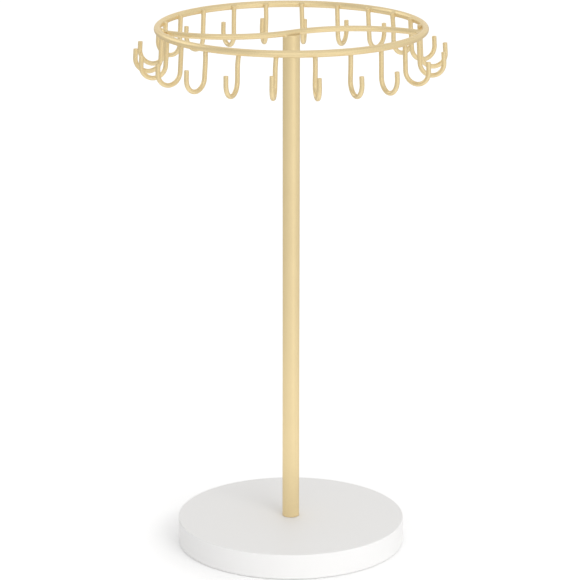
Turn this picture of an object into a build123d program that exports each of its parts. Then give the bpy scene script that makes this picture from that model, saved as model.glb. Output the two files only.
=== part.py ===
from build123d import *
import math
import os

# Round free-standing necklace stand: lacquered wooden disc, a mast that turns in it on a small
# ball bearing, and a wire hoop with J-hooks on top. Millimetres, +Z up. The origin is on the
# mast's axis, on the surface that the stand rests on. -Y is the front.

# ------------------------------------------------------------------ driving dimensions (mm)
# base
PAD_T = 0.5            # foam pad thickness
PAD_R = 66.5           # foam pad radius
DISC_R = 70.0          # disc radius
DISC_T = 15.5          # disc thickness
DISC_EDGE = 0.6        # rounding of the disc's two rims
NECK_HOLE_R = 4.8      # hole in the disc's top face, hidden by the mast's foot

# ball bearing, 6 x 19 x 6
BRG_BORE_R = 3.0
BRG_OUT_R = 9.5
BRG_H = 6.0
BRG_PITCH_R = 6.25
BALL_R = 1.75
BALL_N = 7
GROOVE_R = 1.85        # race groove, 0.10 of play round each ball
INNER_SHOULDER_R = 5.0
OUTER_SHOULDER_R = 7.5
SHIELD_SEAT_R = 8.2
SHIELD_BORE_R = 5.35
SHIELD_T = 0.3
POCKET_R = 1.83        # cage pocket
CAGE_IN_R = 5.75
CAGE_OUT_R = 6.75

# retainer under the bearing
RET_R = 20.0
RET_HOLE_R = 7.8
RET_T = 1.5
RET_SCREW_PCR = 14.5   # radius of the circle of screws
RET_SCREW_N = 3
WOOD_SCREW_R = 1.5
WOOD_HEAD_R = 2.8
WOOD_HEAD_H = 1.3
WOOD_SCREW_L = 8.0

# pivot screw, M6 button head, and its washer
PIVOT_R = 3.0
PIVOT_SHANK_R = 2.97   # plain stretch through the bearing's bore
PIVOT_HEAD_R = 5.25
PIVOT_HEAD_H = 3.3
PIVOT_L = 20.0
PIVOT_HEX_AF = 4.0
PIVOT_HEX_DEPTH = 1.9
WASHER_R = 5.0
WASHER_BORE_R = 3.2
WASHER_T = 1.0

# mast
MAST_R = 5.2
MAST_WALL = 1.0
FOOT_GAP = 0.3         # running gap between the mast's foot and the disc
MAST_TOP_Z = 320.4
FOOT_PLUG_TOP_Z = 39.0
TOP_PLUG_L = 10.0

# hoop and brace
HOOP_R = 79.8          # radius of the hoop's wire centre
HOOP_WIRE_R = 2.1
HOOP_Z = 324.2
BRACE_WIRE_R = 1.75
BRACE_Z = 321.3
BRACE_CHORD = 77.0     # each half of the S spans this chord ...
BRACE_RISE = 13.6      # ... and bulges by this much
BRACE_END_R = 79.4     # the wire is cut off here, under the hoop

# hooks: each is a J with parallel legs, welded to the hoop's inner flank with a slight tilt outward
HOOK_WIRE_R = 1.4
HOOK_TILT = 3.4        # degrees off upright, the bend being further out than the stem's top
HOOK_BEND_R = 7.6      # bend radius at the wire's centre
HOOK_BEND_X = 85.55    # the bend's centre, from the mast's axis ...
HOOK_BEND_Z = 307.0    # ... and its height
HOOK_TOP_Z = 324.9     # wire centre at the stem's top end
HOOK_TIP_Z = 313.3     # wire centre at the free tip
HOOK_END_ROUND = 0.3
# bearings of the hooks round the hoop, degrees anticlockwise from +X, as set by hand in the jig
HOOK_ANGLES = [
    5.0, 20.9, 36.9, 52.1, 68.4, 85.2, 101.7, 117.4, 134.4, 151.2, 169.0,
    184.5, 198.8, 214.0, 230.2, 247.0, 263.5, 280.2, 296.1, 312.3, 329.4, 347.5,
]

# ------------------------------------------------------------------ derived heights
DISC_Z0 = PAD_T
DISC_Z1 = DISC_Z0 + DISC_T
BRG_Z1 = DISC_Z1 - 3.5           # a 3.5 mm web of wood stays above the bearing
BRG_Z0 = BRG_Z1 - BRG_H
BRG_ZM = (BRG_Z0 + BRG_Z1) / 2
RET_Z0 = BRG_Z0 - RET_T
WASHER_Z0 = BRG_Z0 - WASHER_T
HEAD_Z0 = WASHER_Z0 - PIVOT_HEAD_H
MAST_Z0 = DISC_Z1 + FOOT_GAP
TUBE_BORE_R = MAST_R - MAST_WALL

os.makedirs("parts", exist_ok=True)


# ------------------------------------------------------------------ helpers
def cyl(r, z0, z1, x=0.0, y=0.0):
    """Upright cylinder from z0 to z1."""
    return Pos(x, y, (z0 + z1) / 2) * Cylinder(r, z1 - z0)


def tube(r_out, r_in, z0, z1):
    """Upright tube from z0 to z1."""
    return cyl(r_out, z0, z1) - cyl(r_in, z0 - 1, z1 + 1)


def torus(r_major, r_minor, z):
    return Pos(0, 0, z) * Torus(r_major, r_minor)


def spin(points):
    """Solid of revolution about Z of a closed (radius, z) outline."""
    outline = Polyline([(r, 0, z) for r, z in points], close=True)
    return revolve(make_face(outline), Axis.Z, 360)


def save(node, shape, name):
    shape.label = name
    export_step(shape, os.path.join("parts", name + ".step"))
    bb = shape.bounding_box()
    print(
        name,
        len(shape.solids()),
        "solids",
        round(sum(s.volume for s in shape.solids()), 2),
        "mm3",
        [round(v, 2) for v in (bb.min.X, bb.min.Y, bb.min.Z, bb.max.X, bb.max.Y, bb.max.Z)],
    )
    node[name] = shape


nodes = {}

# ------------------------------------------------------------------ wires first: others are cut to them
# hoop: one wire closed into a circle
hoop = torus(HOOP_R, HOOP_WIRE_R, HOOP_Z)

# brace: S of two equal arcs that meet at the mast's axis, ends tucked under the hoop
arc_r = ((BRACE_CHORD / 2) ** 2 + BRACE_RISE**2) / (2 * BRACE_RISE)
arc_cx = BRACE_CHORD / 2
arc_cy = BRACE_RISE - arc_r
a_axis = math.degrees(math.atan2(-arc_cy, -arc_cx))      # seen from the arc's centre
# end of the arc where its distance from the axis is BRACE_END_R
d_c = math.hypot(arc_cx, arc_cy)
cos_g = (BRACE_END_R**2 - d_c**2 - arc_r**2) / (2 * d_c * arc_r)
a_end = math.degrees(math.atan2(arc_cy, arc_cx) + math.acos(cos_g))
a_mid = (a_axis + a_end) / 2


def arc_pt(deg):
    t = math.radians(deg)
    return Vector(arc_cx + arc_r * math.cos(t), arc_cy + arc_r * math.sin(t), BRACE_Z)


p_end = arc_pt(a_end)
p_mid = arc_pt(a_mid)
p_0 = Vector(0, 0, BRACE_Z)
right_half = ThreePointArc(p_0, p_mid, p_end)
left_half = ThreePointArc(
    Vector(-p_end.X, -p_end.Y, BRACE_Z), Vector(-p_mid.X, -p_mid.Y, BRACE_Z), p_0
)
brace_path = Wire([left_half.edge(), right_half.edge()])
brace_start = brace_path @ 0
brace_dir = brace_path % 0
brace_full = sweep(
    Plane(origin=brace_start, z_dir=brace_dir) * Circle(BRACE_WIRE_R), path=brace_path
)
brace = brace_full - hoop                                # set down into the hoop's underside
print("brace arc radius", round(arc_r, 2), "end", round(p_end.X, 2), round(p_end.Y, 2))

# one hook, in the XZ plane, opening towards +X
tilt = math.radians(HOOK_TILT)
leg_x, leg_z = math.sin(tilt), math.cos(tilt)            # down the stem is (leg_x, -leg_z)


def bend_pt(side):
    """Where the bend meets the stem (side -1) or the tip (side 1)."""
    return (HOOK_BEND_X + side * HOOK_BEND_R * leg_z, 0, HOOK_BEND_Z + side * HOOK_BEND_R * leg_x)


def up_leg(foot, z):
    """The point of a leg that starts at foot, at height z."""
    return (foot[0] - (z - foot[2]) * leg_x / leg_z, 0, z)


stem_foot, tip_foot = bend_pt(-1), bend_pt(1)
stem_top, tip_end = up_leg(stem_foot, HOOK_TOP_Z), up_leg(tip_foot, HOOK_TIP_Z)
bend_low = (HOOK_BEND_X + HOOK_BEND_R * leg_x, 0, HOOK_BEND_Z - HOOK_BEND_R * leg_z)
hook_path = Wire(
    [
        Line(stem_top, stem_foot).edge(),
        ThreePointArc(stem_foot, bend_low, tip_foot).edge(),
        Line(tip_foot, tip_end).edge(),
    ]
)
hook = sweep(
    Plane(origin=stem_top, z_dir=(leg_x, 0, -leg_z)) * Circle(HOOK_WIRE_R),
    path=hook_path,
)
end_edges = [
    e
    for e in hook.edges().filter_by(GeomType.CIRCLE)
    if min(abs(e.arc_center.Z - HOOK_TOP_Z), abs(e.arc_center.Z - HOOK_TIP_Z)) < 0.01
]
hook = fillet(end_edges, HOOK_END_ROUND)
hook = hook - hoop                                       # the weld sets the stem into the hoop
print("hook stem top at radius", round(stem_top[0], 2), "tip at", round(tip_end[0], 2), "gap inside the U", 2 * (HOOK_BEND_R - HOOK_WIRE_R))

save(nodes, hoop, "hoop")
save(nodes, brace, "brace_wire")
for i, angle in enumerate(HOOK_ANGLES):
    save(nodes, Rot(0, 0, angle) * hook, "hook_%02d" % (i + 1))

# ------------------------------------------------------------------ mast
mast_tube = tube(MAST_R, TUBE_BORE_R, MAST_Z0, MAST_TOP_Z) - brace_full
save(nodes, mast_tube, "mast_tube")

# plug that closes the tube; the brace lies in a shallow saddle across both
top_plug = cyl(TUBE_BORE_R, MAST_TOP_Z - TOP_PLUG_L, MAST_TOP_Z) - brace_full
save(nodes, top_plug, "mast_top_plug")

# foot plug: welded in the tube, its neck passes the disc and stands on the bearing's inner ring
screw_tip_z = WASHER_Z0 + PIVOT_L
foot_plug = spin(
    [
        (0, screw_tip_z + 2.0),
        (PIVOT_R, screw_tip_z + 1.0),
        (PIVOT_R, BRG_Z1),
        (TUBE_BORE_R - 0.3, BRG_Z1),
        (TUBE_BORE_R, BRG_Z1 + 0.3),
        (TUBE_BORE_R, FOOT_PLUG_TOP_Z - 0.5),
        (TUBE_BORE_R - 0.5, FOOT_PLUG_TOP_Z),
        (0, FOOT_PLUG_TOP_Z),
    ]
)
save(nodes, foot_plug, "mast_foot_plug")

# pivot screw: domed head with a hexagon socket, from below
head_dome_r = 7.2
head = cyl(PIVOT_HEAD_R, HEAD_Z0, WASHER_Z0)
head = head & (Pos(0, 0, HEAD_Z0 + head_dome_r) * Sphere(head_dome_r))
socket = Pos(0, 0, HEAD_Z0 - 0.1) * extrude(
    RegularPolygon(PIVOT_HEX_AF / 2, 6, major_radius=False), PIVOT_HEX_DEPTH + 0.1
)
shank = spin(
    [
        (0, WASHER_Z0),
        (PIVOT_SHANK_R, WASHER_Z0),
        (PIVOT_SHANK_R, BRG_Z1),
        (PIVOT_R, BRG_Z1),
        (PIVOT_R, screw_tip_z - 0.8),
        (PIVOT_R - 0.8, screw_tip_z),
        (0, screw_tip_z),
    ]
)
pivot_screw = head + shank - socket
save(nodes, pivot_screw, "pivot_screw")
save(nodes, tube(WASHER_R, WASHER_BORE_R, WASHER_Z0, BRG_Z0), "pivot_washer")

# ------------------------------------------------------------------ ball bearing
groove = torus(BRG_PITCH_R, GROOVE_R, BRG_ZM)
inner_ring = tube(INNER_SHOULDER_R, BRG_BORE_R, BRG_Z0, BRG_Z1) - groove
save(nodes, inner_ring, "bearing_inner_ring")

outer_ring = tube(BRG_OUT_R, OUTER_SHOULDER_R, BRG_Z0, BRG_Z1) - groove
outer_ring = outer_ring - cyl(SHIELD_SEAT_R, BRG_Z0 - 1, BRG_Z0 + 0.4)
outer_ring = outer_ring - cyl(SHIELD_SEAT_R, BRG_Z1 - 0.4, BRG_Z1 + 1)
save(nodes, outer_ring, "bearing_outer_ring")

shields = Compound(
    children=[
        tube(SHIELD_SEAT_R, SHIELD_BORE_R, BRG_Z0 + 0.4 - SHIELD_T, BRG_Z0 + 0.4).solid(),
        tube(SHIELD_SEAT_R, SHIELD_BORE_R, BRG_Z1 - 0.4, BRG_Z1 - 0.4 + SHIELD_T).solid(),
    ]
)
save(nodes, shields, "bearing_shields")

ball_spots = [
    (
        BRG_PITCH_R * math.cos(2 * math.pi * k / BALL_N),
        BRG_PITCH_R * math.sin(2 * math.pi * k / BALL_N),
    )
    for k in range(BALL_N)
]
balls = Compound(
    children=[(Pos(x, y, BRG_ZM) * Sphere(BALL_R)).solid() for x, y in ball_spots]
)
save(nodes, balls, "bearing_balls")

# crown cage: a ring below the balls with pockets open to the top
cage = tube(CAGE_OUT_R, CAGE_IN_R, BRG_ZM - 2.45, BRG_ZM + 0.8)
for x, y in ball_spots:
    cage = cage - Pos(x, y, BRG_ZM) * Sphere(POCKET_R)
save(nodes, cage, "bearing_cage")

# ------------------------------------------------------------------ base
# retainer plate with countersunk holes, and its screws
screw_spots = [
    (
        RET_SCREW_PCR * math.cos(math.radians(90 + 360 * k / RET_SCREW_N)),
        RET_SCREW_PCR * math.sin(math.radians(90 + 360 * k / RET_SCREW_N)),
    )
    for k in range(RET_SCREW_N)
]
wood_screw = spin(
    [
        (0, RET_Z0),
        (WOOD_HEAD_R, RET_Z0),
        (WOOD_SCREW_R, RET_Z0 + WOOD_HEAD_H),
        (WOOD_SCREW_R, RET_Z0 + WOOD_SCREW_L - 2.0),
        (0, RET_Z0 + WOOD_SCREW_L),
    ]
)
screw_env = wood_screw
cross = Box(3.0, 0.6, 1.6) + Box(0.6, 3.0, 1.6)
wood_screw_cut = wood_screw - Pos(0, 0, RET_Z0) * cross
retainer = tube(RET_R, RET_HOLE_R, RET_Z0, BRG_Z0)
for x, y in screw_spots:
    retainer = retainer - Pos(x, y, 0) * screw_env
save(nodes, retainer, "bearing_retainer")
save(
    nodes,
    Compound(children=[(Pos(x, y, 0) * wood_screw_cut).solid() for x, y in screw_spots]),
    "retainer_screws",
)

# disc: stepped bore from below for the retainer and the bearing, small hole through the top
disc = cyl(DISC_R, DISC_Z0, DISC_Z1)
rims = [e for e in disc.edges().filter_by(GeomType.CIRCLE)]
disc = fillet(rims, DISC_EDGE)
disc = disc - cyl(RET_R + 0.2, DISC_Z0 - 1, BRG_Z0)
disc = disc - cyl(BRG_OUT_R, BRG_Z0 - 1, BRG_Z1)
disc = disc - cyl(SHIELD_SEAT_R - 0.4, BRG_Z1 - 1, BRG_Z1 + 0.5)
disc = disc - cyl(NECK_HOLE_R, BRG_Z1 - 1, DISC_Z1 + 1)
for x, y in screw_spots:
    disc = disc - Pos(x, y, 0) * screw_env
save(nodes, disc, "base_disc")

# pad glued under the disc
save(nodes, cyl(PAD_R, 0, PAD_T), "base_pad")

print(len(nodes), "nodes")
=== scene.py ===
import math
import bpy
import numpy as np
from mathutils import Matrix, Vector


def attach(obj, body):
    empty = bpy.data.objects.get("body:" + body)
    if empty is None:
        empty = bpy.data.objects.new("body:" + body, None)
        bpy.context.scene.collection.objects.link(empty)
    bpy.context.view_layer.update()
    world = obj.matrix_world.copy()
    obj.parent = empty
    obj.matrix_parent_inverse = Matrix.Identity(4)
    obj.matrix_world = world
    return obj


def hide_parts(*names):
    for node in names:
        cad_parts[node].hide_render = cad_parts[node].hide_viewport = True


# Looks of the necklace stand. Shapes are worked out in millimetres and turned into metres when a mesh is made.

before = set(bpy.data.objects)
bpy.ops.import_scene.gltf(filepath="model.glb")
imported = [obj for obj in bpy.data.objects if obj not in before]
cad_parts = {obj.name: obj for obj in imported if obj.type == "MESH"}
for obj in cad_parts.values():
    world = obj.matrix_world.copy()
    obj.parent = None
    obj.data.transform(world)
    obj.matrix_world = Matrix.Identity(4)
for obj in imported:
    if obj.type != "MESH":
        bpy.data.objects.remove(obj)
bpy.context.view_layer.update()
scene = bpy.context.scene
rng = np.random.default_rng(7)

# ------------------------------------------------------------------ sizes, as in the CAD model (mm)
PAD_T, PAD_R = 0.5, 66.5
DISC_R, DISC_Z0, DISC_Z1, DISC_EDGE = 70.0, 0.5, 16.0, 0.6
NECK_R, POCKET_R, POCKET_TOP, RECESS_R, RECESS_TOP, RELIEF_R, RELIEF_TOP = 4.8, 9.5, 12.5, 20.2, 6.5, 7.8, 13.0
MAST_R, MAST_BORE, MAST_Z0, MAST_Z1 = 5.2, 4.2, 16.08, 320.4      # the foot's gap is less than the model's clearance
HOOP_R, HOOP_WIRE, HOOP_Z = 79.8, 2.1, 324.2
BRACE_WIRE, BRACE_Z, BRACE_CHORD, BRACE_RISE, BRACE_END_R = 1.75, 321.3, 77.0, 13.6, 79.4
HOOK_WIRE, HOOK_TILT, HOOK_BEND_R, HOOK_BEND_X, HOOK_BEND_Z = 1.4, 3.4, 7.6, 85.55, 307.0
HOOK_TOP, HOOK_TIP = 324.9, 313.3
HOOK_ANGLES = [
    5.0, 20.9, 36.9, 52.1, 68.4, 85.2, 101.7, 117.4, 134.4, 151.2, 169.0,
    184.5, 198.8, 214.0, 230.2, 247.0, 263.5, 280.2, 296.1, 312.3, 329.4, 347.5,
]
# how each hand-bent tip sits off the regular one: outward, sideways, upward
TIP_OFF = [
    (-0.4, -0.2, 0.6), (-0.2, -0.55, -0.2), (0.0, 0.25, -0.4), (0.1, -0.5, 0.1), (-0.1, -0.25, -0.5),
    (-0.2, -0.7, -1.1), (-0.2, -0.65, -0.4), (-0.1, -0.4, -1.2), (0.0, -0.1, -0.8), (0.0, -0.1, -0.4),
    (-0.1, -0.3, -0.8), (-0.1, -0.3, -0.4), (-0.1, -0.4, -0.3), (0.0, -0.4, -0.2), (0.2, -0.65, -0.4),
    (0.0, -1.0, -0.7), (-0.3, -0.5, 0.7), (-0.1, -0.6, -0.6), (0.0, -0.9, -1.1), (-1.6, -1.0, -1.6),
    (-0.1, -0.3, -0.1), (-0.7, -0.3, 0.4),
]
# how each stem runs sideways off the regular one: at its top, how much it bows halfway, and where the bend starts
STEM_SIDE = [
    (0.0, 0.0, -0.4), (-0.1, -0.1, -0.55), (-0.2, -0.3, -0.5), (0.1, 0.0, -0.35), (-0.05, 0.0, -0.2),
    (0.1, 0.0, -0.4), (0.15, -0.2, 0.15), (0.05, 0.05, -0.25), (0.05, 0.0, -0.1), (-0.3, 0.0, -0.5),
    (0.0, 0.0, -0.4), (0.0, 0.0, -0.3), (-0.2, 0.0, -0.6), (-0.2, 0.0, -0.2), (-0.25, 0.3, -0.2),
    (0.1, -0.4, -0.5), (0.2, -0.2, -0.5), (0.0, 0.15, -0.2), (0.25, 0.15, -0.4), (0.1, 0.0, -0.5),
    (0.0, -0.1, -0.8), (0.0, 0.0, -0.4),
]
BEND_DROP = {20: 0.9}                                     # bends that hang lower than the rest


# ------------------------------------------------------------------ mesh helpers
def new_object(name, verts_mm, faces, body, material, replaces=(), smooth=True):
    mesh = bpy.data.meshes.new(name)
    mesh.from_pydata((np.asarray(verts_mm, float) / 1000.0).tolist(), [], faces)
    mesh.validate()
    mesh.update()
    mesh.polygons.foreach_set("use_smooth", [smooth] * len(mesh.polygons))
    obj = bpy.data.objects.new(name, mesh)
    scene.collection.objects.link(obj)
    mesh.materials.append(material)
    if body:
        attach(obj, body)
    if replaces:
        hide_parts(*replaces)
    return obj


def ring_faces(n_rings, n_seg, close_rings, first=0):
    """Quads between successive rings of n_seg vertices, rings turning anticlockwise about the way they advance."""
    out = []
    last = n_rings if close_rings else n_rings - 1
    for i in range(last):
        a, b = first + i * n_seg, first + ((i + 1) % n_rings) * n_seg
        for j in range(n_seg):
            k = (j + 1) % n_seg
            out.append((a + j, a + k, b + k, b + j))
    return out


def wire_mesh(centres, tangents, side, radii, n_seg, closed=False, squash=None):
    """A wire: rings of n_seg vertices round the centres. side is a steady vector at right angles to the line.
    An open wire starts and ends in rings of no radius, which become single points."""
    c, t, s = (np.asarray(a, float) for a in (centres, tangents, side))
    t = t / np.linalg.norm(t, axis=1)[:, None]
    s = s - (s * t).sum(1)[:, None] * t
    s = s / np.linalg.norm(s, axis=1)[:, None]
    u = np.cross(t, s)
    ang = np.arange(n_seg) * 2 * math.pi / n_seg
    r = np.asarray(radii, float)[:, None, None]
    q = np.ones(len(c)) if squash is None else np.asarray(squash, float)
    ring = c[:, None, :] + r * (
        np.cos(ang)[None, :, None] * s[:, None, :] * q[:, None, None]
        + np.sin(ang)[None, :, None] * u[:, None, :]
    )
    if closed:
        return ring.reshape(-1, 3), ring_faces(len(c), n_seg, True)
    body = ring[1:-1].reshape(-1, 3)
    n = len(c) - 2
    faces = ring_faces(n, n_seg, False, 1)
    verts = np.vstack([c[:1], body, c[-1:]])
    end = len(verts) - 1
    base = 1 + (n - 1) * n_seg
    for j in range(n_seg):
        k = (j + 1) % n_seg
        faces.append((0, 1 + k, 1 + j))
        faces.append((end, base + j, base + k))
    return verts, faces


def cut_end(radius, rounding, steps=5):
    """(distance in from the cut face, ring radius) of a flat-cut wire end with a rounded rim, from its middle outwards."""
    flat = radius - rounding
    rows = [(0.0, 0.0), (0.0, flat * 0.45), (0.0, flat * 0.85), (0.0, flat)]
    for i in range(1, steps + 1):
        a = math.pi / 2 * i / steps
        rows.append((rounding * (1 - math.cos(a)), flat + rounding * math.sin(a)))
    return rows


def lathe(outline, n_seg, closed=True):
    """Turned shape about Z from (radius, z) points, listed anticlockwise seen with radius to the right and z up."""
    ang = np.arange(n_seg) * 2 * math.pi / n_seg
    verts, faces, rows = [], [], []
    for r, z in outline:
        if r < 1e-9:
            rows.append([len(verts)])
            verts.append((0.0, 0.0, z))
        else:
            rows.append(list(range(len(verts), len(verts) + n_seg)))
            verts.extend(zip(r * np.cos(ang), r * np.sin(ang), [z] * n_seg))
    pairs = list(zip(rows, rows[1:] + rows[:1])) if closed else list(zip(rows, rows[1:]))
    for a, b in pairs:
        if len(a) == 1 and len(b) == 1:
            continue
        for j in range(n_seg):
            k = (j + 1) % n_seg
            if len(a) == 1:
                faces.append((a[0], b[k], b[j]))
            elif len(b) == 1:
                faces.append((a[j], a[k], b[0]))
            else:
                faces.append((a[j], a[k], b[k], b[j]))
    return np.array(verts, float), faces


def arc(cr, cz, rad, a0, a1, n):
    """Points of a rounded corner in a lathe outline."""
    return [
        (cr + rad * math.cos(math.radians(a0 + (a1 - a0) * i / n)), cz + rad * math.sin(math.radians(a0 + (a1 - a0) * i / n)))
        for i in range(n + 1)
    ]


# ------------------------------------------------------------------ distance to each wire, for the weld fillets
def d_hoop(p):
    return np.hypot(np.hypot(p[:, 0], p[:, 1]) - HOOP_R, p[:, 2] - HOOP_Z) - HOOP_WIRE


ARC_R = ((BRACE_CHORD / 2) ** 2 + BRACE_RISE**2) / (2 * BRACE_RISE)
ARC_C = np.array([BRACE_CHORD / 2, BRACE_RISE - ARC_R])
_a0 = math.atan2(-ARC_C[1], -ARC_C[0])
_dc = math.hypot(*ARC_C)
_a1 = math.atan2(ARC_C[1], ARC_C[0]) + math.acos((BRACE_END_R**2 - _dc**2 - ARC_R**2) / (2 * _dc * ARC_R))


def brace_point(s):
    """Point and direction of the S at s from -1, its left end, to 1, its right end."""
    s = np.asarray(s, float)
    a = _a0 + (_a1 - _a0) * np.abs(s)
    sg = np.where(s < 0, -1.0, 1.0)
    x = sg * (ARC_C[0] + ARC_R * np.cos(a))
    y = sg * (ARC_C[1] + ARC_R * np.sin(a))
    way = math.copysign(1.0, _a1 - _a0)
    tx, ty = -np.sin(a) * way, np.cos(a) * way
    return np.stack([x, y, np.full_like(x, BRACE_Z)], -1), np.stack([tx, ty, np.zeros_like(x)], -1)


_fine_s = np.linspace(-1, 1, 721)
_brace_line = brace_point(_fine_s)[0]


def d_brace(p):
    """Distance to the S, through its nearest sampled stretch."""
    out = np.full(len(p), 1e3)
    near = np.abs(p[:, 2] - BRACE_Z) < 8
    q = p[near]
    if len(q) == 0:
        return out
    best = np.full(len(q), 1e3)
    for lo in range(0, len(q), 20000):
        part = q[lo : lo + 20000]
        d2 = ((part[:, None, :2] - _brace_line[None, :, :2]) ** 2).sum(2)
        k = np.clip(d2.argmin(1), 1, len(_brace_line) - 2)
        flat = np.full(len(part), 1e3)
        for a, b in ((k - 1, k), (k, k + 1)):
            pa, pb = _brace_line[a, :2], _brace_line[b, :2]
            ab = pb - pa
            t = np.clip(((part[:, :2] - pa) * ab).sum(1) / (ab**2).sum(1), 0, 1)
            flat = np.minimum(flat, np.linalg.norm(part[:, :2] - pa - ab * t[:, None], axis=1))
        best[lo : lo + 20000] = flat
    out[near] = np.hypot(best, q[:, 2] - BRACE_Z) - BRACE_WIRE
    return out


LEG = np.array([math.sin(math.radians(HOOK_TILT)), math.cos(math.radians(HOOK_TILT))])     # a leg's run, out and down
FOOT_U, FOOT_Z = HOOK_BEND_X - HOOK_BEND_R * LEG[1], HOOK_BEND_Z - HOOK_BEND_R * LEG[0]
TOP_U = FOOT_U - (HOOK_TOP - FOOT_Z) * LEG[0] / LEG[1]


def place(angle, points):
    """From a hook's own plane, u outward, v sideways and z up, to where the hook stands."""
    c, s = math.cos(math.radians(angle)), math.sin(math.radians(angle))
    return np.asarray(points, float) @ np.array([[c, s, 0], [-s, c, 0], [0, 0, 1]])


STEM_TOPS = np.array([place(a, (TOP_U, w[0], HOOK_TOP)) for a, w in zip(HOOK_ANGLES, STEM_SIDE)])
STEM_FEET = np.array([place(a, (FOOT_U, w[2], FOOT_Z)) for a, w in zip(HOOK_ANGLES, STEM_SIDE)])
STEM_WAYS = (STEM_FEET - STEM_TOPS) / np.linalg.norm(STEM_FEET - STEM_TOPS, axis=1)[:, None]


def d_stems(p):
    """Distance to the nearest hook's stem, a straight wire with a flat-cut top."""
    rel = p[:, None, :] - STEM_TOPS[None]
    along = (rel * STEM_WAYS[None]).sum(2)
    rho = np.linalg.norm(rel - along[:, :, None] * STEM_WAYS[None], axis=2)
    k = rho.argmin(1)
    e = 0.35
    a, b = rho[np.arange(len(p)), k] - (HOOK_WIRE - e), e - along[np.arange(len(p)), k]
    return np.hypot(np.maximum(a, 0), np.maximum(b, 0)) + np.minimum(np.maximum(a, b), 0) - e


def d_mast(p):
    e = 0.35
    a, b = np.hypot(p[:, 0], p[:, 1]) - (MAST_R - e), p[:, 2] - (MAST_Z1 - e)
    return np.hypot(np.maximum(a, 0), np.maximum(b, 0)) + np.minimum(np.maximum(a, b), 0) - e


def soft_min(a, b, k):
    h = np.maximum(k - np.abs(a - b), 0) / k
    return np.minimum(a, b) - h * h * k / 4


def weld(verts, d_own, others, k):
    """Moves the skin of one wire out to the fillet that it shares with the others, near where they meet."""
    v = np.array(verts, float)

    def d_other(p):
        d = others[0](p)
        for f in others[1:]:
            d = np.minimum(d, f(p))
        return d

    own0 = d_own(v)
    oth0 = d_other(v)
    pick = np.where((oth0 < k * 1.2) & (oth0 > -0.9) & (np.abs(own0) < 0.15))[0]
    if len(pick) == 0:
        return v
    p, o0, b0 = v[pick].copy(), own0[pick], oth0[pick]
    w = np.clip((b0 + 0.85) / 0.5, 0, 1)
    w = w * w * (3 - 2 * w)

    def f(q):
        return soft_min(d_own(q) - o0, d_other(q), k)

    for _ in range(6):
        val = f(p)
        g = np.zeros_like(p)
        for ax in range(3):
            step = np.zeros(3)
            step[ax] = 0.01
            g[:, ax] = (f(p + step) - f(p - step)) / 0.02
        n2 = np.maximum((g**2).sum(1), 0.25)
        p -= (np.clip(val, -0.4, 0.4) / n2)[:, None] * g
    v[pick] += w[:, None] * (p - v[pick])
    return v


# ------------------------------------------------------------------ materials
def nodes_of(name):
    mat = bpy.data.materials.new(name)
    mat.use_nodes = True
    nt = mat.node_tree
    bsdf = nt.nodes["Principled BSDF"]
    place = nt.nodes.new("ShaderNodeTexCoord")
    return mat, nt, bsdf, place.outputs["Object"]


def noise(nt, place, scale, detail=2.0, rough=0.5, stretch=None):
    n = nt.nodes.new("ShaderNodeTexNoise")
    n.inputs["Scale"].default_value = scale
    n.inputs["Detail"].default_value = detail
    n.inputs["Roughness"].default_value = rough
    if stretch:
        m = nt.nodes.new("ShaderNodeMapping")
        m.inputs["Scale"].default_value = stretch
        nt.links.new(place, m.inputs["Vector"])
        place = m.outputs["Vector"]
    nt.links.new(place, n.inputs["Vector"])
    return n.outputs["Fac"]


def ramp(nt, fac, stops):
    r = nt.nodes.new("ShaderNodeValToRGB")
    el = r.color_ramp.elements
    el[0].position, el[0].color = stops[0][0], (*stops[0][1], 1)
    el[1].position, el[1].color = stops[-1][0], (*stops[-1][1], 1)
    for pos, col in stops[1:-1]:
        e = el.new(pos)
        e.color = (*col, 1)
    nt.links.new(fac, r.inputs["Fac"])
    return r.outputs["Color"]


def span(nt, fac, lo, hi, from_lo=0.3, from_hi=0.7):
    m = nt.nodes.new("ShaderNodeMapRange")
    m.inputs["From Min"].default_value = from_lo
    m.inputs["From Max"].default_value = from_hi
    m.inputs["To Min"].default_value = lo
    m.inputs["To Max"].default_value = hi
    nt.links.new(fac, m.inputs["Value"])
    return m.outputs["Result"]


def bump(nt, height, distance, strength=1.0, normal=None):
    b = nt.nodes.new("ShaderNodeBump")
    b.inputs["Strength"].default_value = strength
    b.inputs["Distance"].default_value = distance
    nt.links.new(height, b.inputs["Height"])
    if normal is not None:
        nt.links.new(normal, b.inputs["Normal"])
    return b.outputs["Normal"]


def gold_coat():
    mat, nt, bsdf, place = nodes_of("champagne_gold_coat")
    wide = noise(nt, place, 34, 3)
    tone = ramp(nt, wide, [(0.30, (0.852, 0.686, 0.388)), (0.5, (0.872, 0.703, 0.400)), (0.72, (0.892, 0.721, 0.414))])
    nt.links.new(tone, bsdf.inputs["Base Color"])
    flake = noise(nt, place, 5200, 2)
    nt.links.new(span(nt, flake, 0.27, 0.34), bsdf.inputs["Roughness"])
    peel = noise(nt, place, 1300, 3, 0.55)
    fine = noise(nt, place, 5200, 2)
    n1 = bump(nt, peel, 0.000006, 0.2)
    nt.links.new(bump(nt, fine, 0.000002, 0.3, n1), bsdf.inputs["Normal"])
    bsdf.inputs["Metallic"].default_value = 0.70
    bsdf.inputs["Specular IOR Level"].default_value = 0.42
    bsdf.inputs["Specular Tint"].default_value = (0.82, 0.76, 0.66, 1)
    bsdf.inputs["Coat Weight"].default_value = 0.05
    bsdf.inputs["Coat Roughness"].default_value = 0.25
    return mat


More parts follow.
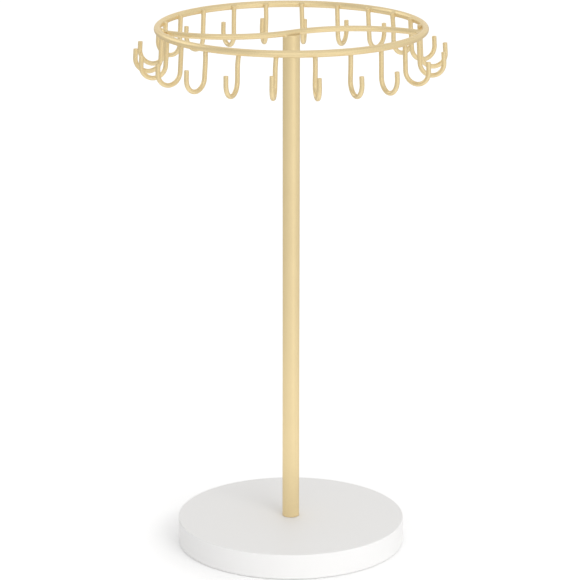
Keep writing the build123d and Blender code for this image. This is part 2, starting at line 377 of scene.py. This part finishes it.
def white_lacquer():
    mat, nt, bsdf, place = nodes_of("white_lacquer_coat")
    wide = noise(nt, place, 11, 2)
    tone = ramp(nt, wide, [(0.3, (0.905, 0.899, 0.891)), (0.7, (0.915, 0.909, 0.901))])
    nt.links.new(tone, bsdf.inputs["Base Color"])
    rough = noise(nt, place, 26, 2)
    nt.links.new(span(nt, rough, 0.50, 0.55), bsdf.inputs["Roughness"])
    peel = noise(nt, place, 380, 2, 0.4)
    dust = noise(nt, place, 2600, 2)
    n1 = bump(nt, peel, 0.000006, 0.3)
    nt.links.new(bump(nt, dust, 0.000001, 0.25, n1), bsdf.inputs["Normal"])
    bsdf.inputs["Specular IOR Level"].default_value = 0.26
    bsdf.inputs["Coat Weight"].default_value = 0.0
    bsdf.inputs["Coat Roughness"].default_value = 0.25
    return mat


def foam():
    mat, nt, bsdf, place = nodes_of("pad_foam")
    v = nt.nodes.new("ShaderNodeTexVoronoi")
    v.inputs["Scale"].default_value = 2600
    nt.links.new(place, v.inputs["Vector"])
    cells = v.outputs["Distance"]
    tone = ramp(nt, cells, [(0.0, (0.40, 0.395, 0.385)), (0.5, (0.60, 0.595, 0.585))])
    nt.links.new(tone, bsdf.inputs["Base Color"])
    nt.links.new(span(nt, noise(nt, place, 300, 3), 0.75, 0.92), bsdf.inputs["Roughness"])
    nt.links.new(bump(nt, cells, 0.00006, 0.8), bsdf.inputs["Normal"])
    return mat


def steel(name, colour, rough, turned=0.0):
    mat, nt, bsdf, place = nodes_of(name)
    c = colour
    tone = ramp(nt, noise(nt, place, 220, 4), [(0.3, tuple(x * 0.9 for x in c)), (0.7, tuple(min(1, x * 1.05) for x in c))])
    nt.links.new(tone, bsdf.inputs["Base Color"])
    lines = noise(nt, place, 900, 3, 0.6, (1, 1, 8 if turned else 1))
    nt.links.new(span(nt, lines, rough * 0.8, rough * 1.25), bsdf.inputs["Roughness"])
    nt.links.new(bump(nt, lines, 0.000004, 0.5), bsdf.inputs["Normal"])
    bsdf.inputs["Metallic"].default_value = 1.0
    return mat


def cage_steel():
    return steel("pressed_cage_steel", (0.55, 0.54, 0.52), 0.34)


GOLD = gold_coat()
LACQUER = white_lacquer()
FOAM = foam()
GROUND = steel("ground_bearing_steel", (0.72, 0.72, 0.73), 0.12, 1)
ZINC = steel("zinc_plated_steel", (0.66, 0.67, 0.69), 0.28)
CAGE = cage_steel()

# ------------------------------------------------------------------ camera
CAM_Y, CAM_Z, PITCH, YAW, ROLL, FOCAL_PX = -1.70830, 0.64924, 0.2779, -0.00038, -0.0011, 2908.65
cam_data = bpy.data.cameras.new("camera")
cam_data.sensor_width = 36.0
cam_data.lens = FOCAL_PX / 580.0 * 36.0
cam_data.clip_start, cam_data.clip_end = 0.05, 60.0
cam = bpy.data.objects.new("camera", cam_data)
scene.collection.objects.link(cam)
cp, sp, cy, sy = math.cos(PITCH), math.sin(PITCH), math.cos(YAW), math.sin(YAW)
fwd = Vector((sy * cp, cy * cp, -sp))
right = Vector((cy, -sy, 0.0))
down = fwd.cross(right)
r2 = right * math.cos(ROLL) + down * math.sin(ROLL)
d2 = down * math.cos(ROLL) - right * math.sin(ROLL)
rot = Matrix((r2, -d2, -fwd)).transposed()
cam.matrix_world = Matrix.Translation((0.0, CAM_Y, CAM_Z)) @ rot.to_4x4()
scene.camera = cam

# ------------------------------------------------------------------ base disc
E = DISC_EDGE
outline = (
    [(NECK_R, POCKET_TOP + 0.5 + 0.02), (RELIEF_R, POCKET_TOP + 0.5), (RELIEF_R, POCKET_TOP), (POCKET_R, POCKET_TOP),
     (POCKET_R, RECESS_TOP), (RECESS_R, RECESS_TOP), (RECESS_R, DISC_Z0 + 0.25), (RECESS_R + 0.25, DISC_Z0)]
    + [(r, DISC_Z0) for r in (30, 45, 60, DISC_R - E - 0.15)]
    + arc(DISC_R - E, DISC_Z0 + E, E, -90, 0, 10)
    + [(DISC_R, z) for z in (DISC_Z0 + E + 0.12, 5.0, 9.0, 13.0, DISC_Z1 - E - 0.12)]
    + arc(DISC_R - E, DISC_Z1 - E, E, 0, 90, 10)
    + [(r, DISC_Z1) for r in (DISC_R - E - 0.15, 66, 58, 48, 38, 28, 20, 14, 10, 7.5, 6.0)]
    + [(NECK_R + 0.35, DISC_Z1), (NECK_R + 0.12, DISC_Z1 - 0.06), (NECK_R, DISC_Z1 - 0.3)]
)
verts, faces = lathe(outline, 384)
disc = new_object("lacquered_disc", verts, faces, "base", LACQUER, ("base_disc",))

# ------------------------------------------------------------------ foam pad
n_seg = 360
pad_outline = (
    [(0.0, 0.0), (20, 0.0), (40, 0.0), (58, 0.0), (PAD_R - 0.5, 0.0)]
    + arc(PAD_R - 0.15, 0.15, 0.15, -90, 0, 4)
    + arc(PAD_R - 0.12, PAD_T - 0.12, 0.12, 0, 90, 3)
    + [(58, PAD_T), (40, PAD_T), (20, PAD_T), (0.0, PAD_T)]
)
verts, faces = lathe(pad_outline, n_seg, closed=False)
rad = np.hypot(verts[:, 0], verts[:, 1])
ang = np.arctan2(verts[:, 1], verts[:, 0])
edge = np.clip((rad - 60) / 6, 0, 1)
wob = -0.06 + 0.05 * np.sin(ang * 7 + 1.0) + 0.04 * np.sin(ang * 19 + 2.2) + 0.03 * np.sin(ang * 53)
scale = 1 + edge * wob / np.maximum(rad, 1)
verts[:, 0] *= scale
verts[:, 1] *= scale
pad = new_object("foam_pad", verts, faces, "base", FOAM, ("base_pad",))

# ------------------------------------------------------------------ mast tube and its closed top
z_mid = list(np.arange(30.0, 315.0, 6.0))
fine_top = list(np.linspace(316.0, MAST_Z1 - 0.35 - 0.03, 22))
r_steps = list(np.linspace(MAST_R - 0.38, MAST_BORE + 0.09, 6))
tube_outline = (
    [(MAST_BORE, MAST_Z1 - 10.0), (MAST_BORE, 40.0), (MAST_BORE, MAST_Z0 + 0.1), (MAST_BORE + 0.1, MAST_Z0), (MAST_R - 0.15, MAST_Z0)]
    + arc(MAST_R - 0.1, MAST_Z0 + 0.1, 0.1, -90, 0, 5)
    + [(MAST_R, MAST_Z0 + 0.16), (MAST_R, 20.0)]
    + [(MAST_R, z) for z in z_mid]
    + [(MAST_R, z) for z in fine_top]
    + arc(MAST_R - 0.35, MAST_Z1 - 0.35, 0.35, 0, 90, 7)
    + [(r, MAST_Z1) for r in r_steps]
    + [(MAST_BORE + 0.05, MAST_Z1 - 0.02), (MAST_BORE + 0.01, MAST_Z1 - 0.10), (MAST_BORE, MAST_Z1 - 0.6)]
)
verts, faces = lathe(tube_outline, 144)
verts = weld(verts, d_mast, [d_brace], 1.0)
mast = new_object("mast", verts, faces, "mast", GOLD, ("mast_tube",))

plug_outline = (
    [(0.0, MAST_Z1 - 10.0), (MAST_BORE - 0.4, MAST_Z1 - 10.0), (MAST_BORE - 0.02, MAST_Z1 - 9.6), (MAST_BORE - 0.02, MAST_Z1 - 0.5),
     (MAST_BORE - 0.03, MAST_Z1 - 0.10), (MAST_BORE - 0.07, MAST_Z1 - 0.02)]
    + [(r, MAST_Z1 - 0.005) for r in np.linspace(MAST_BORE - 0.13, 0.25, 17)]
    + [(0.0, MAST_Z1 - 0.005)]
)
verts, faces = lathe(plug_outline, 144, closed=False)
verts = weld(verts, d_mast, [d_brace], 1.0)
plug = new_object("mast_cap", verts, faces, "mast", GOLD, ("mast_top_plug",))

# ------------------------------------------------------------------ hoop
marks = [(a, 2.9, 0.15) for a in HOOK_ANGLES]
end_a = math.degrees(math.atan2(brace_point(1.0)[0][1], brace_point(1.0)[0][0]))
marks += [(end_a, 5.0, 0.2), (end_a + 180, 5.0, 0.2), (93.2, 1.6, 0.12)]
steps = list(np.arange(0, 360, 1.0))
for a, half, fine in marks:
    steps = [s for s in steps if abs((s - a + 180) % 360 - 180) > half - 0.01]
    steps += list(a + np.arange(-half, half + 1e-6, fine))
steps = np.sort(np.array(steps) % 360)
keep = [steps[0]]
for s in steps[1:]:
    if s - keep[-1] > 0.07:
        keep.append(s)
if keep[0] + 360 - keep[-1] < 0.07:
    keep.pop()
th = np.radians(np.array(keep))
c = np.stack([HOOP_R * np.cos(th), HOOP_R * np.sin(th), np.full_like(th, HOOP_Z)], 1)
t = np.stack([-np.sin(th), np.cos(th), np.zeros_like(th)], 1)
out = np.stack([np.cos(th), np.sin(th), np.zeros_like(th)], 1)
off = (np.degrees(th) - 93.2 + 180) % 360 - 180          # the butt weld, dressed nearly flush
arc_mm = np.radians(off) * HOOP_R
rad = HOOP_WIRE + 0.035 * np.exp(-((arc_mm / 0.55) ** 2)) - 0.03 * np.exp(-(((np.abs(arc_mm) - 1.1) / 0.3) ** 2))
verts, faces = wire_mesh(c, t, out, rad, 32, closed=True)
verts = weld(verts, d_hoop, [d_stems, d_brace], 1.1)
verts[:, 2] = np.minimum(verts[:, 2], HOOP_Z + HOOP_WIRE - 0.008)
hoop = new_object("hoop_wire", verts, faces, "mast", GOLD, ("hoop",))

# ------------------------------------------------------------------ brace
length = ARC_R * abs(_a1 - _a0)
s_mm = [0.0]
while s_mm[-1] < length:
    s = s_mm[-1]
    near = min(abs(s), abs(s - length))
    s_mm.append(s + (0.3 if near < 9 else 1.2))
s_mm = np.array(s_mm[:-1])
half = s_mm[s_mm < length - 0.4]
s_all = np.concatenate([-half[::-1], half[1:]]) / length
pc, pt = brace_point(s_all)
e0, et0 = brace_point(-1.0)
e1, et1 = brace_point(1.0)
rows = cut_end(BRACE_WIRE, 0.3)
c0 = np.array([e0 + et0 * d for d, _ in rows])
c1 = np.array([e1 - et1 * d for d, _ in rows[::-1]])
centres = np.vstack([c0, pc, c1])
tang = np.vstack([np.tile(et0, (len(rows), 1)), pt, np.tile(et1, (len(rows), 1))])
radii = np.concatenate([[r for _, r in rows], np.full(len(pc), BRACE_WIRE), [r for _, r in rows[::-1]]])
side = np.tile([0.0, 0.0, 1.0], (len(centres), 1))
verts, faces = wire_mesh(centres, tang, side, radii, 32)
verts = weld(verts, d_brace, [d_hoop, d_mast], 1.0)
brace = new_object("s_brace", verts, faces, "mast", GOLD, ("brace_wire",))

# ------------------------------------------------------------------ hooks
for i, angle in enumerate(HOOK_ANGLES):
    d_out, d_side, d_up = TIP_OFF[i]
    v_top, v_bow, v_foot = STEM_SIDE[i]
    sag = 0.25 * d_up + float(rng.uniform(-0.15, 0.15)) - BEND_DROP.get(i + 1, 0.0)
    bow = float(rng.uniform(-0.10, 0.10))
    # centreline in the hook's own plane: u outward, v sideways, z up
    line = []
    fine = np.arange(0.0, 5.4, 0.24) / (HOOK_TOP - FOOT_Z)
    for f in list(fine) + list(np.linspace(fine[-1] + 0.015, 0.985, 13)):
        g = math.sin(math.pi * f) ** 2
        line.append((TOP_U + (FOOT_U - TOP_U) * f + bow * g, v_top + (v_foot - v_top) * f + v_bow * g, HOOK_TOP + (FOOT_Z - HOOK_TOP) * f))
    n_arc = 36
    for k in range(n_arc + 1):
        a, g = math.pi * k / n_arc, k / n_arc
        g = g * g * (3 - 2 * g)
        line.append((
            HOOK_BEND_X - HOOK_BEND_R * (math.cos(a) * LEG[1] - math.sin(a) * LEG[0]) + d_out * g,
            v_foot + (d_side - v_foot) * g * 0.75,
            HOOK_BEND_Z - HOOK_BEND_R * (math.cos(a) * LEG[0] + math.sin(a) * LEG[1]) + sag * math.sin(a),
        ))
    u0, v0, z0 = line[-1]
    tip_z = HOOK_TIP + d_up
    for z in np.linspace(z0 + 0.5, tip_z, 7):
        line.append((u0 - (z - z0) * LEG[0] / LEG[1], v0 + (d_side - v0) * (z - z0) / (tip_z - z0), z))
    line = np.array(line)
    # unit directions, smoothed through neighbours
    tg = np.gradient(line, axis=0)
    tg /= np.linalg.norm(tg, axis=1)[:, None]
    run = np.concatenate([[0], np.cumsum(np.linalg.norm(np.diff(line, axis=0), axis=1))])
    end_round = 0.2 + float(rng.uniform(-0.04, 0.06))
    rows_a, rows_b = cut_end(HOOK_WIRE, 0.35), cut_end(HOOK_WIRE, end_round)
    inner = (run > 0.45) & (run < run[-1] - 0.5)
    ca = np.array([line[0] + tg[0] * d for d, _ in rows_a])
    cb = np.array([line[-1] - tg[-1] * d for d, _ in rows_b[::-1]])
    centres = np.vstack([ca, line[inner], cb])
    tang = np.vstack([np.tile(tg[0], (len(ca), 1)), tg[inner], np.tile(tg[-1], (len(cb), 1))])
    radii = np.concatenate([[r for _, r in rows_a], np.full(inner.sum(), HOOK_WIRE), [r for _, r in rows_b[::-1]]])
    # the bend draws the wire very slightly flat: wider along side, which stands across the hook's plane
    squash = 1 + 0.035 * np.clip((HOOK_BEND_Z + 1 - centres[:, 2]) / 6, 0, 1)
    side = np.tile([0.0, 1.0, 0.0], (len(centres), 1))
    verts, faces = wire_mesh(place(angle, centres), place(angle, tang), place(angle, side), radii, 24, squash=squash)
    verts = weld(verts, d_stems, [d_hoop], 1.1)
    name = "hook_%02d" % (i + 1)
    new_object("j_" + name, verts, faces, "mast", GOLD, (name,))

# ------------------------------------------------------------------ pieces kept as the CAD has them
FINISH = {
    "mast_foot_plug": ZINC, "pivot_screw": ZINC, "pivot_washer": ZINC, "bearing_retainer": ZINC, "retainer_screws": ZINC,
    "bearing_inner_ring": GROUND, "bearing_outer_ring": GROUND, "bearing_balls": GROUND, "bearing_shields": GROUND,
    "bearing_cage": CAGE,
}
for node, material in FINISH.items():
    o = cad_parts[node]
    if not o.material_slots:
        o.data.materials.append(material)
    for s in o.material_slots:
        s.material = material

# ------------------------------------------------------------------ floor and light
GLOW_NEAR, GLOW_MID, GLOW_FAR, GLOW_BAND = 0.14, 0.25, 0.02, 0.14
SEEN_FLOOR, SEEN_NEAR, SEEN_FAR = 0.98, (0.08, 0.21), 0.13
ROOM = 0.38                                              # the studio's even light
SKY = []                                                 # directions that more light comes from, and how much
for azimuth, strength in ((45, 0.55), (-45, 0.27), (180, 0.66)):
    SKY.append(((math.sin(math.radians(azimuth)), -math.cos(math.radians(azimuth)), 0.0), strength))
mat, nt, bsdf, place = nodes_of("pale_floor")
far = nt.nodes.new("ShaderNodeVectorMath")
far.operation = "LENGTH"
nt.links.new(place, far.inputs[0])
far = far.outputs["Value"]


def added(nt, a, b):
    m = nt.nodes.new("ShaderNodeMath")
    nt.links.new(a, m.inputs[0])
    nt.links.new(b, m.inputs[1])
    return m.outputs["Value"]


# painted light: the floor glows as if lit, most in a ring round the stand, less right beside it and fading far off
glow = nt.nodes.new("ShaderNodeMapRange")
glow.interpolation_type = "SMOOTHSTEP"
for key, value in (("From Min", 0.07), ("From Max", 0.16), ("To Min", GLOW_NEAR), ("To Max", GLOW_MID)):
    glow.inputs[key].default_value = value
nt.links.new(far, glow.inputs["Value"])
tone = ramp(nt, noise(nt, place, 1.5, 2), [(0.3, (0.875, 0.875, 0.875)), (0.7, (0.885, 0.885, 0.885))])
nt.links.new(tone, bsdf.inputs["Base Color"])
glow = added(nt, glow.outputs["Result"], span(nt, far, 0.0, GLOW_FAR - GLOW_MID, 0.25, 0.50))
# and a painted glow in a band towards the key, which the wires mirror as a painted highlight line
way = nt.nodes.new("ShaderNodeVectorMath")
way.operation = "NORMALIZE"
nt.links.new(place, way.inputs[0])
dot = nt.nodes.new("ShaderNodeVectorMath")
dot.operation = "DOT_PRODUCT"
nt.links.new(way.outputs["Vector"], dot.inputs[0])
dot.inputs[1].default_value = (math.sin(math.radians(33)), -math.cos(math.radians(33)), 0.0)
band = span(nt, dot.outputs["Value"], 0.0, GLOW_BAND, math.cos(math.radians(16)), math.cos(math.radians(7)))
part = nt.nodes.new("ShaderNodeMath")
part.operation = "MULTIPLY"
nt.links.new(band, part.inputs[0])
nt.links.new(span(nt, far, 0.0, 1.0, 0.12, 0.25), part.inputs[1])
nt.links.new(added(nt, glow, part.outputs["Value"]), bsdf.inputs["Emission Strength"])
clean = nt.nodes.new("ShaderNodeBsdfPrincipled")
clean.inputs["Base Color"].default_value = (SEEN_FLOOR, SEEN_FLOOR, SEEN_FLOOR, 1)
# painted light and shade: the floor the camera sees glows, less right round the stand, which darkens it there
seen_glow = added(nt, span(nt, far, SEEN_NEAR[0], SEEN_NEAR[1], 0.070, 0.095), span(nt, far, 0.0, SEEN_FAR, 0.10, 0.40))
nt.links.new(seen_glow, clean.inputs["Emission Strength"])
for b in (bsdf, clean):
    b.inputs["Roughness"].default_value = 0.9
    b.inputs["Specular IOR Level"].default_value = 0.0
    b.inputs["Emission Color"].default_value = (1.0, 1.0, 1.0, 1)
# the paper is seen a shade whiter than it lights the stand
path = nt.nodes.new("ShaderNodeLightPath")
mix = nt.nodes.new("ShaderNodeMixShader")
nt.links.new(path.outputs["Is Camera Ray"], mix.inputs["Fac"])
nt.links.new(bsdf.outputs["BSDF"], mix.inputs[1])
nt.links.new(clean.outputs["BSDF"], mix.inputs[2])
nt.links.new(mix.outputs["Shader"], nt.nodes["Material Output"].inputs["Surface"])
FLOOR_R = 9000.0
verts, faces = lathe([(0.0, 0.0), (400.0, 0.0), (1500.0, 0.0), (FLOOR_R, 0.0)], 96, closed=False)
faces = [tuple(reversed(f)) for f in faces]
floor = new_object("floor", verts, faces, None, mat)


def softbox(name, azimuth, distance, z, size_x, size_y, power, aim=(0, 0, 0.17)):
    """Area light standing at an azimuth, 0 behind the camera's side of the stand and 90 to its right."""
    data = bpy.data.lights.new(name, "AREA")
    data.shape = "RECTANGLE"
    data.size, data.size_y = size_x, size_y
    data.energy = power
    lamp = bpy.data.objects.new(name, data)
    scene.collection.objects.link(lamp)
    a = math.radians(azimuth)
    lamp.location = (distance * math.sin(a), -distance * math.cos(a), z)
    lamp.rotation_euler = (Vector(aim) - lamp.location).to_track_quat("-Z", "Y").to_euler()
    lamp.visible_camera = False
    return lamp


softbox("key", 33, 1.9, 1.15, 1.1, 1.6, 10.8).visible_glossy = False     # its diffuser is too wide to show as a glint
softbox("fill", -8, 2.1, 1.1, 1.0, 1.6, 1.6)
softbox("top", 10, 0.15, 2.5, 1.8, 1.8, 3.8)
softbox("card", -112, 1.4, 1.1, 1.4, 1.0, 2.8, (0, 0, 0.33)).visible_diffuse = False     # seen only in what the gold mirrors

# a white room that is brighter behind the stand and to its front right, and a little to its front left
world = bpy.data.worlds.new("studio")
scene.world = world
world.use_nodes = True
wn = world.node_tree
bg = wn.nodes["Background"]
bg.inputs["Color"].default_value = (1.0, 1.0, 1.0, 1)
way = wn.nodes.new("ShaderNodeTexCoord")
total = None
for direction, strength in SKY:
    dot = wn.nodes.new("ShaderNodeVectorMath")
    dot.operation = "DOT_PRODUCT"
    wn.links.new(way.outputs["Generated"], dot.inputs[0])
    dot.inputs[1].default_value = direction
    part = wn.nodes.new("ShaderNodeMapRange")            # nothing from the far side
    part.inputs["To Max"].default_value = strength
    wn.links.new(dot.outputs["Value"], part.inputs["Value"])
    total = part.outputs["Result"] if total is None else added(wn, total, part.outputs["Result"])
room = wn.nodes.new("ShaderNodeValue")
room.outputs[0].default_value = ROOM
wn.links.new(added(wn, total, room.outputs[0]), bg.inputs["Strength"])
# the paper behind the stand is seen as white as the floor is
seen = wn.nodes.new("ShaderNodeBackground")
seen.inputs["Color"].default_value = (1.0, 1.0, 1.0, 1)
seen.inputs["Strength"].default_value = 1.05
path = wn.nodes.new("ShaderNodeLightPath")
mix = wn.nodes.new("ShaderNodeMixShader")
wn.links.new(path.outputs["Is Camera Ray"], mix.inputs["Fac"])
wn.links.new(bg.outputs["Background"], mix.inputs[1])
wn.links.new(seen.outputs["Background"], mix.inputs[2])
wn.links.new(mix.outputs["Shader"], wn.nodes["World Output"].inputs["Surface"])

scene.view_settings.view_transform = "Standard"
scene.view_settings.look = "None"
